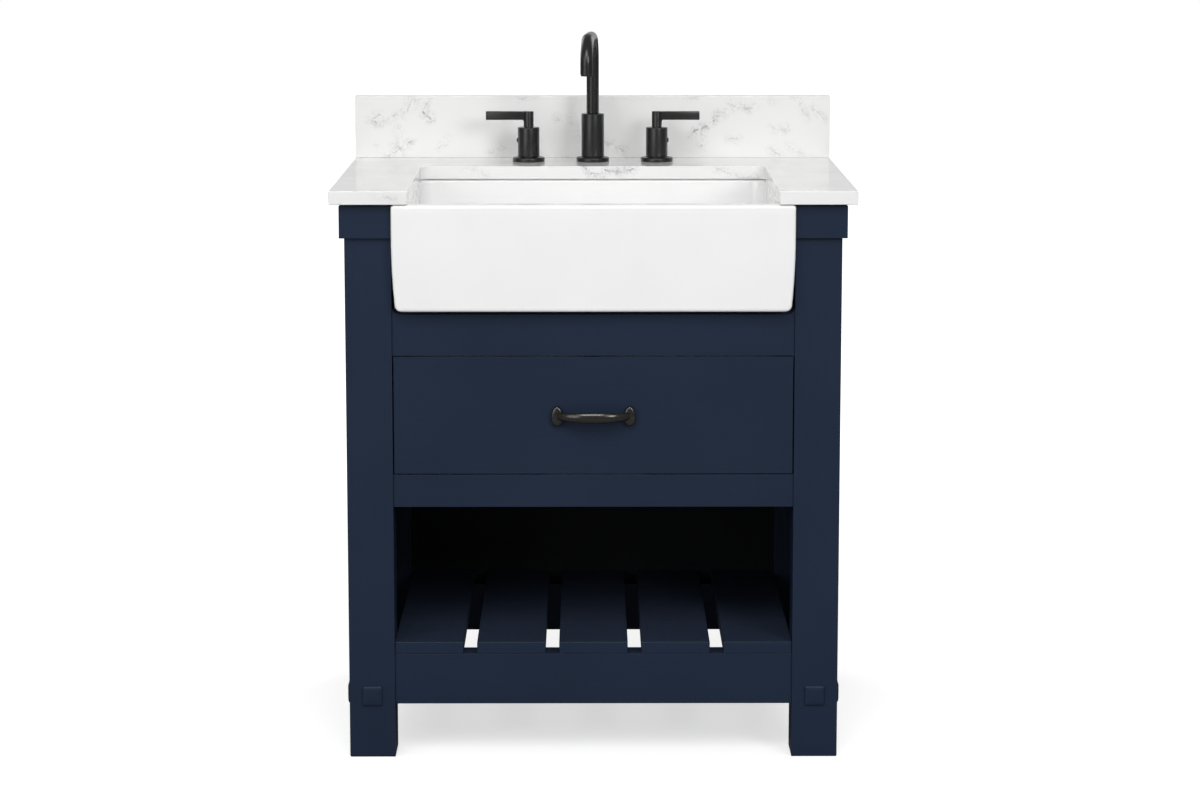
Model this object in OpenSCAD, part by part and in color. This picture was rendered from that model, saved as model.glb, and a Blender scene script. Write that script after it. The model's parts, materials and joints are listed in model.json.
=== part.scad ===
// Bathroom vanity cabinet with an apron-front sink, a stone top, a widespread faucet,
// one drawer on telescopic runners and an open slatted shelf.
// Millimetres. +X is to the right, +Y is towards the wall and +Z is up.
// The origin is on the floor, in the middle of the object's whole width and depth.

/* [Countertop] */
// Width of the countertop and of the backsplash
top_w = 762; // [750:1:800]
// Depth of the countertop
top_d = 559; // [550:1:600]
// Thickness of the countertop
top_t = 20; // [18:1:22]
// Height of the countertop's upper face above the floor
top_z = 844; // [840:1:880]
// Height of the backsplash above the countertop
splash_h = 99; // [60:1:140]
// Thickness of the backsplash
splash_t = 20; // [12:1:25]
// How far the countertop stands out past the legs, in front and behind
overhang = 20; // [16:1:20]

/* [Cabinet] */
// Width over the outer faces of the legs
case_w = 721; // [715:1:730]
// Width of a leg, seen from the front
leg_w = 67.5; // [64:0.5:70]
// Depth of a leg, front to back
leg_d = 62; // [58:1:66]
// Height of the cap round the top of a leg, with the gap above it
cap_h = 50; // [30:1:55]
// Shadow gap between a cap and the countertop
cap_gap = 3; // [0:0.5:5]
// How far a cap stands out from its leg
cap_proud = 7; // [4:1:9]
// How far the rails sit back from the faces of the legs
setback = 3; // [2:1:4]
// Thickness of the upper rails and of the drawer front
rail_t = 20; // [18:1:22]
// Height of the lower rails above the floor
low_z = 80.5; // [70:0.5:90]
// Height of the lower rails themselves
low_h = 75.5; // [65:0.5:80]
// Thickness of the lower rails
low_t = 40; // [30:1:40]
// Side length of a square peg head
peg_w = 29.5; // [24:0.5:32]
// How far a peg head stands out
peg_proud = 4; // [3:0.5:6]

/* [Shelf] */
// Number of slats
slat_count = 5; // [5:1:5]
// Gap between two slats, and between an outer slat and the leg
slat_gap = 20; // [15:1:25]
// Thickness of a slat
slat_t = 18; // [15:1:20]
// Clear height of the open bay above the slats
bay_h = 203; // [180:1:205]

/* [Drawer] */
// Height of the rail under the drawer
drawer_rail_h = 48; // [40:1:50]
// Height of the opening for the drawer front
drawer_h = 176; // [170:1:180]
// Gap round the drawer front
drawer_gap = 1.5; // [1:0.1:2]
// Height of the rail under the sink
sink_rail_h = 61; // [55:1:61]
// Length of the runners, which is also the drawer's travel
runner_l = 400; // [350:10:410]
// Space that a runner takes between the leg and the drawer box
runner_t = 12.7; // [12.7:0.1:13.5]
// Distance between the two screws of the drawer pull
pull_pitch = 96; // [94:1:100]
// How far the pull stands out from the drawer front
pull_reach = 28; // [26:1:32]

/* [Sink] */
// Depth of the sink from the front of the apron to its back wall
sink_d = 410; // [400:1:415]
// Height of the apron
sink_h = 156; // [150:1:157]
// Thickness of the sink's walls
sink_wall = 22; // [18:1:24]
// Thickness of the basin's floor
sink_floor = 14; // [12:1:18]
// Radius of the drain hole
drain_hole_r = 22.5; // [22:0.1:23]

/* [Faucet] */
// Distance from the spout to each handle
handle_pitch = 101.6; // [100:0.1:105]
// Distance from the front of the countertop to the faucet's axes
faucet_d = 474; // [465:1:476]
// Height of the spout's base above the countertop
base_h = 75.7; // [65:0.1:80]
// Radius of the spout's two bends
bend_r = 37; // [30:0.5:45]
// Height of the bends' centres above the countertop
bend_h = 160.1; // [140:0.1:170]
// Length of the level part between the two bends
run_l = 54; // [40:0.5:60]
// Length of the upright part above the mouth
leg_l = 15; // [10:0.5:30]
// Radius of the spout's tube
tube_r = 9.8; // [9.5:0.1:11]
// Angle that the spout is turned from straight ahead
spout_turn = -4.3; // [-10:0.1:10]
// Length of a lever from the handle's axis to its tip
lever_l = 67.7; // [60:0.1:75]

/* [Hidden] */
$fn = 64;

// Colours
navy = [0.14, 0.175, 0.243];
white_stone = [0.91, 0.91, 0.91];
white_glaze = [0.93, 0.93, 0.94];
matte_black = [0.2, 0.2, 0.2];
dark_bronze = [0.17, 0.16, 0.16];
chrome = [0.75, 0.76, 0.78];
zinc = [0.6, 0.61, 0.63];
brass = [0.72, 0.6, 0.34];
birch = [0.8, 0.68, 0.5];

// Small amount by which a cutting shape runs past a face
past = 1;

// Front edge of the countertop, which puts the origin in the middle of the whole depth
top_y = (pull_reach - overhang - setback - top_d) / 2;
under_top = top_z - top_t;
case_half = case_w / 2;
open_half = case_half - leg_w;

// Legs
leg_y = top_y + overhang;
leg_back_y = leg_y + leg_d;
rear_leg_y = top_y + top_d - overhang - leg_d;
rear_leg_back_y = rear_leg_y + leg_d;
cap_z = under_top - cap_h;
cap_top_z = under_top - cap_gap;
peg_z = low_z + 12.5;
peg_shank_r = 5;
peg_shank_l = 25;

// Heights of the fronts, from the bottom up
slat_z = low_z + low_h;
bay_z = slat_z + slat_t;
drawer_rail_z = bay_z + bay_h;
drawer_z = drawer_rail_z + drawer_rail_h;
sink_rail_z = drawer_z + drawer_h;
sink_z = under_top - sink_h;

// Rails across the cabinet, each [front face, thickness, bottom, height]
rail_y = leg_y + setback;
upper_rear_h = 80;
upper_rear_y = rear_leg_y + 24;
sink_rail = [rail_y, rail_t, sink_rail_z, sink_rail_h];
drawer_rail = [rail_y, rail_t, drawer_rail_z, drawer_rail_h];
low_front_rail = [rail_y, low_t, low_z, low_h];
low_rear_rail = [rear_leg_y, low_t, low_z, low_h];
upper_rear_rail = [upper_rear_y, rail_t, under_top - upper_rear_h, upper_rear_h];
front_rails = [sink_rail, drawer_rail, low_front_rail];
rear_rails = [low_rear_rail, upper_rear_rail];

// Rails along the sides, each [bottom, height]
side_rail_x = case_half - setback - low_t;
side_upper_h = 60;
low_side_rail = [low_z, low_h];
upper_side_rail = [under_top - side_upper_h, side_upper_h];
side_rails = [low_side_rail, upper_side_rail];

// Tenons and grooves
tenon_l = 12;
tenon_t = 10;
shoulder = 8;
groove = 8;
sink_rail_fillet = 12;
sink_tongue_t = 8;

// Panels
panel_t = 16;
panel_x = case_half - 10 - panel_t;
back_t = 9;
back_y = rear_leg_y + 23;
back_top_z = drawer_rail_z + 43;
ceiling_t = 9;
wall_screw_x = 203.2;
wall_screw_r = 3;

// Slats
slat_w = (2 * open_half - (slat_count - 1) * slat_gap) / slat_count;

// Cleats that carry the sink
cleat_w = 72;
cleat_h = 18;

// Sink
sink_y = top_y + 2;
sink_back_y = sink_y + sink_d;
sink_half = open_half - 1;
sink_taper = 5;
sink_corner_r = 9;
basin_half = sink_half - sink_wall;
basin_z = sink_z + sink_floor;
basin_corner_r = 24;
basin_foot_r = 28;
cutout_half = basin_half - 2;
cutout_back_y = sink_back_y - sink_wall - 5;
cutout_r = 14;

// Drain, at its heights above the floor
drain_y = sink_y + 213;
drain_r = 21.5;
drain_bore_r = 18;
drain_flange_r = 31;
drain_flange_t = 3;
drain_l = 60;
drain_foot_l = 15;
nut_t = 12;
tail_r = 15.875;
tail_bore_r = 14.6;
tail_neck_r = 17;
tail_l = 65;
drain_foot_z = basin_z - drain_l;
stopper_r = 19.5;
stopper_t = 5;
stopper_gap = 0.5;
stopper_stem_r = 4;
stopper_stem_l = 46;
guide_z = basin_z - 30;
guide_t = 5;
guide_half = 7;

// Faucet
faucet_y = top_y + faucet_d;
deck_hole_r = 16;
shank_r = 11;
shank_l = 34;
deck_nut_r = 20;
deck_nut_t = 12;
inlet_r = 10.475;
inlet_l = 20;
valve_body_r = 14;
valve_l = 60;
escutcheon_r = 25.4;
escutcheon_t = 6.7;
hub_r = 17.15;
hub_z = top_z + 8;
hub_h = 46;
spindle_r = 9;
spindle_l = 32;
running_gap = 0.05;
stem_r = 8;
lever_t = 9;
lever_h = 13.4;
lever_top_z = top_z + 79.2;
index_r = 4.1;
index_l = 5;
index_proud = 2;
index_z = top_z + 33.5;
base_flange_r = 26;
base_flange_t = 7;
base_r = 17.9;
base_top_z = top_z + base_h;
swivel_r = 8;
swivel_bore_r = 6;
swivel_l = 38;
swivel_root = 3;
swivel_gap = 0.3;
tube_bore_r = 7.5;
aerator_r = 9.2;
aerator_l = 2.5;
aerator_bore_r = 5;
aerator_plug_l = 6;
aerator_plug_gap = 0.5;

// Drawer
front_y = rail_y;
box_y = front_y + rail_t;
box_l = 430;
box_back_y = box_y + box_l;
box_half = open_half - runner_t;
box_t = 12;
box_z = drawer_z + 13;
box_h = 147;
box_inner = box_half - box_t;
notch_half = 75;
notch_y = box_y + 97;
bottom_t = 6;
bottom_z = box_z + 6;
bottom_groove = 5;

// Drawer pull
pull_z = drawer_z + drawer_h / 2;
foot_r = 8.2;
foot_h = 29.5;
foot_t = 4;
foot_x = pull_pitch / 2 + 5.6;
bail_r = 5;
bail_end = 6;
screw_r = 2;
screw_head_r = 4.5;
screw_head_t = 2.5;

// Runners: sheet thickness, free gap, and the half heights of the three nested members
runner_y = box_y + 2;
sheet_t = 1.2;
member_gap = 0.4;
outer_half = 22.5;
middle_half = outer_half - sheet_t - member_gap;
inner_half = middle_half - sheet_t - member_gap;
channel_l = 10.5;
runner_z = box_z + box_h / 2;

// ---- Helpers ----

// Block between two opposite corners
module block(low, high) {
    translate(low) cube(high - low);
}

// A shape drawn for the right-hand side, mirrored when side is "left"
module on(side) {
    mirror([side == "left" ? 1 : 0, 0, 0]) children();
}

// A shape drawn for the right-hand side, and its mirror image
module both() {
    on("right") children();
    on("left") children();
}

// Outline in X and Z, made into a plate from y to y + t
module upright(y, t) {
    translate([0, y + t, 0]) rotate([90, 0, 0]) linear_extrude(t) children();
}

// Hollow cylinder standing at z
module pipe(z, h, r, bore) {
    translate([0, 0, z]) difference() {
        cylinder(h = h, r = r);
        translate([0, 0, -past]) cylinder(h = h + 2 * past, r = bore);
    }
}

// Points along an arc, for outlines
function arc(centre, r, from, to, steps = 6) =
    [for (i = [0 : steps]) let (turn = from + (to - from) * i / steps) centre + r * [cos(turn), sin(turn)]];

// ---- Frame ----

// Tenons at both ends of a rail that runs across the cabinet
module cross_tenons(rail) {
    reach = open_half + tenon_l;
    y = rail[0] + (rail[1] - tenon_t) / 2;
    block([-reach, y, rail[2] + shoulder], [reach, y + tenon_t, rail[2] + rail[3] - shoulder]);
}

// Tenons at both ends of a rail that runs along the right-hand side
module side_tenons(rail) {
    x = side_rail_x + (low_t - tenon_t) / 2;
    block([x, leg_back_y - tenon_l, rail[0] + shoulder],
          [x + tenon_t, rear_leg_y + tenon_l, rail[0] + rail[1] - shoulder]);
}

// Solid of the right-hand side panel, with the edges that sit in the grooves
module panel_solid() {
    block([panel_x, leg_back_y - groove, slat_z - groove],
          [panel_x + panel_t, rear_leg_y + groove, upper_side_rail[0] + groove]);
}

// Solid of the back panel, with the edges that sit in the grooves
module back_solid() {
    reach = open_half + groove;
    block([-reach, back_y, slat_z - groove], [reach, back_y + back_t, back_top_z]);
}

// One peg, with its head standing out along +Z from the face at z = 0
module peg() {
    translate([-peg_w / 2, -peg_w / 2, 0]) cube([peg_w, peg_w, peg_proud]);
    translate([0, 0, -peg_shank_l]) cylinder(h = peg_shank_l + past, r = peg_shank_r);
}

// The three pegs on the right-hand side
module side_pegs() {
    translate([case_half - leg_w / 2, leg_y, peg_z]) rotate([90, 0, 0]) peg();
    for (y = [leg_y, rear_leg_y])
        translate([case_half, y + leg_d / 2, peg_z]) rotate([0, 90, 0]) peg();
}

// One right-hand leg, standing with its front at y
module leg(y, rails) {
    color(navy) difference() {
        block([open_half, y, 0], [case_half, y + leg_d, under_top]);
        for (rail = rails) cross_tenons(rail);
        for (rail = side_rails) side_tenons(rail);
        panel_solid();
        back_solid();
        side_pegs();
    }
}

module pegs() {
    color(navy) both() side_pegs();
}

// Cap round the front and the outer face of a front leg
module cap_front() {
    color(navy) difference() {
        block([open_half, leg_y - cap_proud, cap_z], [case_half + cap_proud, leg_back_y, cap_top_z]);
        block([open_half - past, leg_y, cap_z - past], [case_half, leg_back_y + past, under_top + past]);
    }
}

// Cap on the outer face of a rear leg
module cap_rear() {
    color(navy) block([case_half, rear_leg_y, cap_z], [case_half + cap_proud, rear_leg_back_y, cap_top_z]);
}

// Rail across the cabinet between two legs
module cross_rail(rail) {
    block([-open_half, rail[0], rail[2]], [open_half, rail[0] + rail[1], rail[2] + rail[3]]);
    cross_tenons(rail);
}

// The rail under the sink. Its top edge curves up to the legs round the sink's corners, and the sink's front
// rests on a tongue along its back.
module rail_under_sink() {
    top = sink_rail_z + sink_rail_h;
    back = rail_y + rail_t;
    color(navy) union() {
        cross_rail(sink_rail);
        block([-open_half, back - sink_tongue_t, top - past], [open_half, back, sink_z]);
        both() upright(rail_y, rail_t) difference() {
            translate([open_half - sink_rail_fillet, top]) square(sink_rail_fillet);
            translate([open_half - sink_rail_fillet, top + sink_rail_fillet]) circle(sink_rail_fillet);
        }
    }
}

module rail_under_drawer() {
    color(navy) cross_rail(drawer_rail);
}

module rail_lower_front() {
    color(navy) cross_rail(low_front_rail);
}

module rail_lower_rear() {
    color(navy) difference() {
        cross_rail(low_rear_rail);
        back_solid();
    }
}

module rail_upper_rear() {
    color(navy) difference() {
        cross_rail(upper_rear_rail);
        for (x = [-wall_screw_x, wall_screw_x])
            translate([x, upper_rear_y - past, under_top - upper_rear_h / 2])
                rotate([-90, 0, 0]) cylinder(h = rail_t + 2 * past, r = wall_screw_r);
    }
}

// Rail along the right-hand side, grooved for the panel
module side_rail(rail) {
    color(navy) difference() {
        union() {
            block([side_rail_x, leg_back_y, rail[0]], [side_rail_x + low_t, rear_leg_y, rail[0] + rail[1]]);
            side_tenons(rail);
        }
        panel_solid();
    }
}

module side_panel() {
    color(navy) panel_solid();
}

module back_panel() {
    color(navy) back_solid();
}

// Panel over the open bay, notched round the legs
module bay_ceiling() {
    color(navy) {
        block([-panel_x, leg_back_y, drawer_rail_z], [panel_x, rear_leg_y, drawer_rail_z + ceiling_t]);
        block([-open_half, rail_y + rail_t, drawer_rail_z], [open_half, back_y, drawer_rail_z + ceiling_t]);
    }
}

// One slat, counted from the left
module shelf_slat(i) {
    x = -open_half + (i - 1) * (slat_w + slat_gap);
    color(navy) block([x, rail_y, slat_z], [x + slat_w, back_y, bay_z]);
}

module sink_cleats() {
    color(birch) both() block([panel_x - cleat_w, leg_back_y, sink_z - cleat_h],
                              [panel_x, rear_leg_y, sink_z]);
}

module runner_blocks() {
    color(birch) both() block([open_half, leg_back_y, runner_z - outer_half],
                              [panel_x, rear_leg_y, runner_z + outer_half]);
}

// ---- Countertop and sink ----

module countertop() {
    color(white_stone) difference() {
        block([-top_w / 2, top_y, under_top], [top_w / 2, top_y + top_d, top_z]);
        translate([0, 0, under_top - past]) linear_extrude(top_t + 2 * past) {
            translate([-cutout_half, top_y - past])
                square([2 * cutout_half, cutout_back_y - cutout_r - top_y + past]);
            translate([-cutout_half + cutout_r, top_y])
                square([2 * (cutout_half - cutout_r), cutout_back_y - top_y]);
            for (x = [-1, 1])
                translate([x * (cutout_half - cutout_r), cutout_back_y - cutout_r]) circle(cutout_r);
        }
        for (x = [-handle_pitch, 0, handle_pitch])
            translate([x, faucet_y, under_top - past]) cylinder(h = top_t + 2 * past, r = deck_hole_r);
    }
}

module backsplash() {
    color(white_stone) block([-top_w / 2, top_y + top_d - splash_t, top_z],
                             [top_w / 2, top_y + top_d, top_z + splash_h]);
}

// Front view of the sink's outside: the sides lean in a little towards rounded bottom corners
module sink_outline() {
    foot = sink_half - sink_taper - sink_corner_r;
    right = arc([foot, sink_z + sink_corner_r], sink_corner_r, -90, 0);
    left = arc([-foot, sink_z + sink_corner_r], sink_corner_r, 180, 270);
    polygon(concat(right, [[sink_half, under_top], [-sink_half, under_top]], left));
}

// View of the basin's hollow along one axis: straight walls with rounded feet
module basin_outline(low, high) {
    right = arc([high - basin_foot_r, basin_z + basin_foot_r], basin_foot_r, -90, 0);
    left = arc([low + basin_foot_r, basin_z + basin_foot_r], basin_foot_r, 180, 270);
    polygon(concat(right, [[high, under_top + past], [low, under_top + past]], left));
}

// The hollow of the basin
module basin_hollow() {
    low_y = sink_y + sink_wall;
    high_y = sink_back_y - sink_wall;
    intersection() {
        upright(low_y, high_y - low_y) basin_outline(-basin_half, basin_half);
        translate([-basin_half, 0, 0]) rotate([90, 0, 90])
            linear_extrude(2 * basin_half) basin_outline(low_y, high_y);
        translate([0, 0, basin_z]) linear_extrude(sink_h) union() {
            for (x = [-1, 1]) for (y = [low_y + basin_corner_r, high_y - basin_corner_r])
                translate([x * (basin_half - basin_corner_r), y]) circle(basin_corner_r);
            translate([-basin_half, low_y + basin_corner_r])
                square([2 * basin_half, high_y - low_y - 2 * basin_corner_r]);
            translate([-basin_half + basin_corner_r, low_y])
                square([2 * (basin_half - basin_corner_r), high_y - low_y]);
        }
    }
}

module sink() {
    color(white_glaze) difference() {
        upright(sink_y, sink_d) sink_outline();
        basin_hollow();
        translate([0, drain_y, sink_z - past]) cylinder(h = sink_floor + 2 * past, r = drain_hole_r);
    }
}

// ---- Drain ----

// Flange, threaded body, guide bar for the stopper and the socket that holds the tailpiece
module drain_flange() {
    socket_top = drain_foot_z + drain_foot_l;
    color(chrome) translate([0, drain_y, 0]) {
        pipe(basin_z, drain_flange_t, drain_flange_r, drain_bore_r);
        pipe(socket_top, basin_z - socket_top, drain_r, drain_bore_r);
        pipe(drain_foot_z, drain_foot_l, drain_r, tail_neck_r);
        translate([0, 0, guide_z]) difference() {
            block([-drain_bore_r - past, -guide_half, 0], [drain_bore_r + past, guide_half, guide_t]);
            translate([0, 0, -past]) cylinder(h = guide_t + 2 * past, r = stopper_stem_r + running_gap);
        }
    }
}

module drain_nut() {
    color(zinc) translate([0, drain_y, sink_z - nut_t]) difference() {
        cylinder(h = nut_t, r = drain_flange_r + 1, $fn = 6);
        translate([0, 0, -past]) cylinder(h = nut_t + 2 * past, r = drain_r);
    }
}

// Threaded neck that screws into the socket, and the plain tube that the trap takes
module drain_tailpiece() {
    color(chrome) translate([0, drain_y, 0]) {
        pipe(drain_foot_z, drain_foot_l, tail_neck_r, tail_bore_r);
        pipe(drain_foot_z - tail_l, tail_l, tail_r, tail_bore_r);
    }
}

// Cap with a stem that slides through the guide bar
module drain_stopper() {
    cap_bottom = basin_z + drain_flange_t + stopper_gap;
    color(chrome) translate([0, drain_y, cap_bottom]) {
        cylinder(h = stopper_t, r = stopper_r);
        translate([0, 0, -stopper_stem_l]) cylinder(h = stopper_stem_l + past, r = stopper_stem_r);
    }
}

// ---- Faucet ----

// Flange, body and threaded shank, with a bore for the swivelling tube
module spout_base() {
    color(matte_black) translate([0, faucet_y, 0]) difference() {
        union() {
            translate([0, 0, top_z]) cylinder(h = base_flange_t, r = base_flange_r);
            translate([0, 0, top_z]) cylinder(h = base_h, r = base_r);
            translate([0, 0, top_z - shank_l - top_t]) cylinder(h = shank_l + top_t + past, r = shank_r);
        }
        translate([0, 0, base_top_z - swivel_l]) cylinder(h = swivel_l + past, r = swivel_r + running_gap);
    }
}

// A shape placed at the end of the tube, with +Z along the way out
module at_mouth() {
    translate([0, faucet_y, 0]) rotate([0, 0, spout_turn])
        translate([0, -2 * bend_r - run_l, top_z + bend_h - leg_l]) rotate([180, 0, 0]) children();
}

// Quarter bend of the tube about a level axis; it starts at that angle above the back
module tube_bend(centre_y, start) {
    translate([0, centre_y, top_z + bend_h]) rotate([90, 0, 90]) rotate([0, 0, start])
        rotate_extrude(angle = 90) translate([bend_r, 0]) difference() {
            circle(tube_r);
            circle(tube_bore_r);
        }
}

// Swivel pin, riser, two bends with a level run between them and the end of the tube, hollow all the way
module spout_tube() {
    riser_z = base_top_z + swivel_gap;
    bend_z = top_z + bend_h;
    color(matte_black) translate([0, faucet_y, 0]) rotate([0, 0, spout_turn]) {
        pipe(riser_z - swivel_l, swivel_l + swivel_root, swivel_r, swivel_bore_r);
        pipe(riser_z, bend_z - riser_z, tube_r, tube_bore_r);
        tube_bend(-bend_r, 0);
        translate([0, -bend_r, bend_z + bend_r]) rotate([90, 0, 0]) pipe(0, run_l, tube_r, tube_bore_r);
        tube_bend(-bend_r - run_l, 90);
        translate([0, -2 * bend_r - run_l, 0]) pipe(bend_z - leg_l, leg_l, tube_r, tube_bore_r);
    }
}

// Collar at the spout's mouth and the plug that holds it in the tube
module spout_aerator() {
    color(matte_black) at_mouth() {
        pipe(0, aerator_l, aerator_r, aerator_bore_r);
        pipe(-aerator_plug_l, aerator_plug_l, tube_bore_r - aerator_plug_gap, aerator_bore_r);
    }
}

// Ring on the countertop under a handle
module escutcheon(x) {
    color(matte_black) translate([x, faucet_y, 0]) pipe(top_z, escutcheon_t, escutcheon_r, shank_r);
}

// Inlet, body, threaded shank and the spindle that the handle turns on
module valve(x) {
    body_z = under_top - valve_l + inlet_l;
    shank_z = under_top - shank_l;
    color(brass) translate([x, faucet_y, 0]) {
        translate([0, 0, under_top - valve_l]) cylinder(h = inlet_l + past, r = inlet_r);
        translate([0, 0, body_z]) cylinder(h = shank_z - body_z, r = valve_body_r);
        translate([0, 0, shank_z]) cylinder(h = hub_z - swivel_gap - shank_z, r = shank_r);
        translate([0, 0, hub_z - past]) cylinder(h = spindle_l + past, r = spindle_r);
    }
}

// Button in the outer side of the right-hand handle's hub
module index_solid() {
    translate([hub_r - index_l + index_proud, 0, index_z])
        rotate([0, 90, 0]) cylinder(h = index_l, r = index_r);
}

// Hub, stem and lever for the handle on the right; the lever points away from the spout
module handle_solid() {
    difference() {
        union() {
            translate([0, 0, hub_z]) cylinder(h = hub_h, r = hub_r);
            translate([0, 0, hub_z]) cylinder(h = lever_top_z - hub_z, r = stem_r);
            translate([0, -lever_t / 2, lever_top_z - lever_h]) cube([lever_l, lever_t, lever_h]);
        }
        translate([0, 0, hub_z - past]) cylinder(h = spindle_l + 2 * past, r = spindle_r + running_gap);
        index_solid();
    }
}

module handle(side) {
    color(matte_black) on(side) translate([handle_pitch, faucet_y, 0]) handle_solid();
}

// Coloured button that tells hot from cold
module index_button(side, shade) {
    color(shade) on(side) translate([handle_pitch, faucet_y, 0]) index_solid();
}

// Hexagonal nuts that clamp the faucet under the countertop
module faucet_nuts() {
    color(zinc) for (x = [-handle_pitch, 0, handle_pitch])
        translate([x, faucet_y, under_top - deck_nut_t]) difference() {
            cylinder(h = deck_nut_t, r = deck_nut_r, $fn = 6);
            translate([0, 0, -past]) cylinder(h = deck_nut_t + 2 * past, r = shank_r);
        }
}

// ---- Drawer ----

// Holes for the pull's screws, through the drawer front and the front of the box
module screw_holes() {
    for (x = [-pull_pitch / 2, pull_pitch / 2])
        translate([x, front_y - past, pull_z]) rotate([-90, 0, 0])
            cylinder(h = rail_t + box_t + 2 * past, r = screw_r);
}

module drawer_front() {
    half = open_half - drawer_gap;
    color(navy) difference() {
        block([-half, front_y, drawer_z + drawer_gap], [half, box_y, drawer_z + drawer_h - drawer_gap]);
        screw_holes();
    }
}

// Bottom board, open at the back round the drain, with its edges in the grooves of the walls
module bottom_solid() {
    side = box_inner + bottom_groove;
    notch_side = notch_half + box_t - bottom_groove;
    back = box_back_y - box_t + bottom_groove;
    color(birch) difference() {
        block([-side, box_y + box_t - bottom_groove, bottom_z], [side, back, bottom_z + bottom_t]);
        block([-notch_side, notch_y + bottom_groove, bottom_z - past],
              [notch_side, back + past, bottom_z + bottom_t + past]);
    }
}

// A wall of the box between two corners in plan, grooved for the bottom board
module box_wall(low, high) {
    color(birch) difference() {
        block([low.x, low.y, box_z], [high.x, high.y, box_z + box_h]);
        bottom_solid();
    }
}

module drawer_box_front() {
    difference() {
        box_wall([-box_inner, box_y], [box_inner, box_y + box_t]);
        screw_holes();
    }
}

module drawer_side() {
    box_wall([box_inner, box_y], [box_half, box_back_y]);
}

// The two back walls, one on each side of the notch
module drawer_back() {
    both() box_wall([notch_half + box_t, box_back_y - box_t], [box_inner, box_back_y]);
}

// The walls round the notch that leaves room for the drain
module drawer_notch() {
    box_wall([-notch_half - box_t, notch_y], [notch_half + box_t, notch_y + box_t]);
    both() box_wall([notch_half, notch_y + box_t], [notch_half + box_t, box_back_y]);
}

// Two oval feet and a bowed grip between them
module drawer_pull() {
    rise = pull_reach - bail_r - bail_end;
    bow_r = (foot_x * foot_x + rise * rise) / (2 * rise);
    bow_angle = 2 * asin(foot_x / bow_r);
    color(dark_bronze) difference() {
        union() {
            for (x = [-foot_x, foot_x]) upright(front_y - foot_t, foot_t) translate([x, pull_z]) {
                for (z = [-1, 1]) translate([0, z * (foot_h / 2 - foot_r)]) circle(foot_r);
                square([2 * foot_r, foot_h - 2 * foot_r], center = true);
            }
            translate([0, front_y - bail_end - rise + bow_r, pull_z]) rotate([0, 0, -90 - bow_angle / 2])
                rotate_extrude(angle = bow_angle) translate([bow_r, 0]) circle(bail_r);
        }
        screw_holes();
    }
}

module pull_screws() {
    color(zinc) for (x = [-pull_pitch / 2, pull_pitch / 2]) translate([x, box_y + box_t, pull_z]) {
        rotate([90, 0, 0]) cylinder(h = rail_t + box_t + past, r = screw_r);
        rotate([-90, 0, 0]) cylinder(h = screw_head_t, r = screw_head_r);
    }
}

// ---- Runners ----

// Channel section with its web at x = 0 and its flanges along +X
module channel(half, length) {
    difference() {
        translate([0, -half]) square([length, 2 * half]);
        translate([sheet_t, sheet_t - half]) square([length, 2 * (half - sheet_t)]);
    }
}

// A runner's section, placed against the right-hand leg and drawn out along the runner
module member() {
    color(zinc) both() translate([open_half, 0, runner_z]) mirror([1, 0, 0])
        upright(runner_y, runner_l) children();
}

module runner_cabinet_members() {
    member() channel(outer_half, channel_l);
}

module runner_middle_members() {
    member() translate([sheet_t + member_gap, 0]) channel(middle_half, channel_l - sheet_t - member_gap);
}

module runner_drawer_members() {
    length = runner_t - 2 * (sheet_t + member_gap);
    member() translate([runner_t, 0]) mirror([1, 0]) channel(inner_half, length);
}

// ---- Nodes ----

on("left") leg(leg_y, front_rails);  // leg_front_left
on("right") leg(leg_y, front_rails);  // leg_front_right
on("left") leg(rear_leg_y, rear_rails);  // leg_rear_left
on("right") leg(rear_leg_y, rear_rails);  // leg_rear_right
on("left") cap_front();  // cap_front_left
on("right") cap_front();  // cap_front_right
on("left") cap_rear();  // cap_rear_left
on("right") cap_rear();  // cap_rear_right
pegs();
rail_under_sink();
rail_under_drawer();
rail_lower_front();
rail_lower_rear();
on("left") side_rail(low_side_rail);  // rail_lower_left
on("right") side_rail(low_side_rail);  // rail_lower_right
on("left") side_rail(upper_side_rail);  // rail_upper_left
on("right") side_rail(upper_side_rail);  // rail_upper_right
rail_upper_rear();
on("left") side_panel();  // side_panel_left
on("right") side_panel();  // side_panel_right
back_panel();
bay_ceiling();
shelf_slat(1);  // shelf_slat_1
shelf_slat(2);  // shelf_slat_2
shelf_slat(3);  // shelf_slat_3
shelf_slat(4);  // shelf_slat_4
shelf_slat(5);  // shelf_slat_5
sink_cleats();
runner_blocks();
countertop();
backsplash();
sink();
drain_flange();
drain_nut();
drain_tailpiece();
drain_stopper();
spout_base();
spout_tube();
spout_aerator();
escutcheon(-handle_pitch);  // hot_escutcheon
escutcheon(handle_pitch);  // cold_escutcheon
valve(-handle_pitch);  // hot_valve
valve(handle_pitch);  // cold_valve
handle("left");  // hot_handle
handle("right");  // cold_handle
index_button("left", "firebrick");  // hot_index
index_button("right", "royalblue");  // cold_index
faucet_nuts();
drawer_front();
drawer_box_front();
on("left") drawer_side();  // drawer_side_left
on("right") drawer_side();  // drawer_side_right
drawer_back();
drawer_notch();
bottom_solid();  // drawer_bottom
drawer_pull();
pull_screws();
runner_cabinet_members();
runner_middle_members();
runner_drawer_members();
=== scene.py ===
"""Looks for the bathroom vanity cabinet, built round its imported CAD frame.

Lengths are in metres, +Z is up and +Y points to the wall.
"""

import json
import math

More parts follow.
